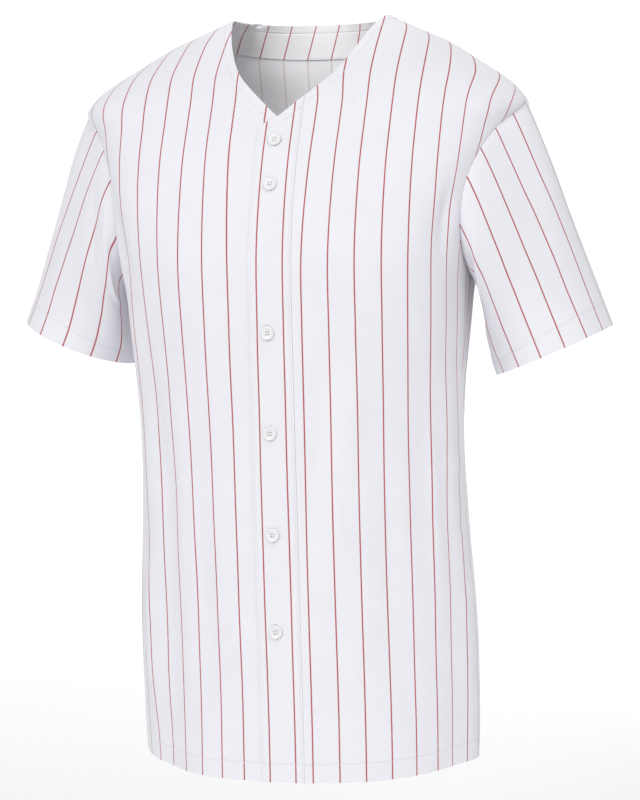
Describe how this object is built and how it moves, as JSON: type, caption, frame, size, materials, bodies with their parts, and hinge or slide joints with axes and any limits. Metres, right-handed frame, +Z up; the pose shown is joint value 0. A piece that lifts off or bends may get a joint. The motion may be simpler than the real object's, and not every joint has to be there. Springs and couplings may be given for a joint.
{
  "type": "baseball jersey",
  "caption": "Short-sleeved pinstriped baseball jersey with a full button front and a collarless V neck, filled out as if worn, hollow and open at neck, hem and cuffs",
  "frame": {"origin": "the middle of the neck opening, level with the points where the shoulder seams meet the neck edge; the wearer's neck and shoulders hold the garment there", "axes": "+Z up towards the wearer's head, the front faces -Y, +X is the wearer's left"},
  "size_m": [0.6204, 0.3183, 0.7714],
  "materials": {
    "pinstripe_knit": "smooth white polyester knit with thin red vertical stripes, soft matt",
    "facing_knit": "the same striped knit, seen on the inside of the back neck",
    "white_plastic": "satin white plastic"
  },
  "bodies": {
    "root": {"front_right": "pinstripe_knit", "front_left": "pinstripe_knit", "placket_band": "pinstripe_knit", "back": "pinstripe_knit", "sleeve_left": "pinstripe_knit", "sleeve_right": "pinstripe_knit", "back_neck_facing": "facing_knit", "button_1": "white_plastic", "button_2": "white_plastic", "button_3": "white_plastic", "button_4": "white_plastic", "button_5": "white_plastic", "button_6": "white_plastic"}
  },
  "joints": []
}
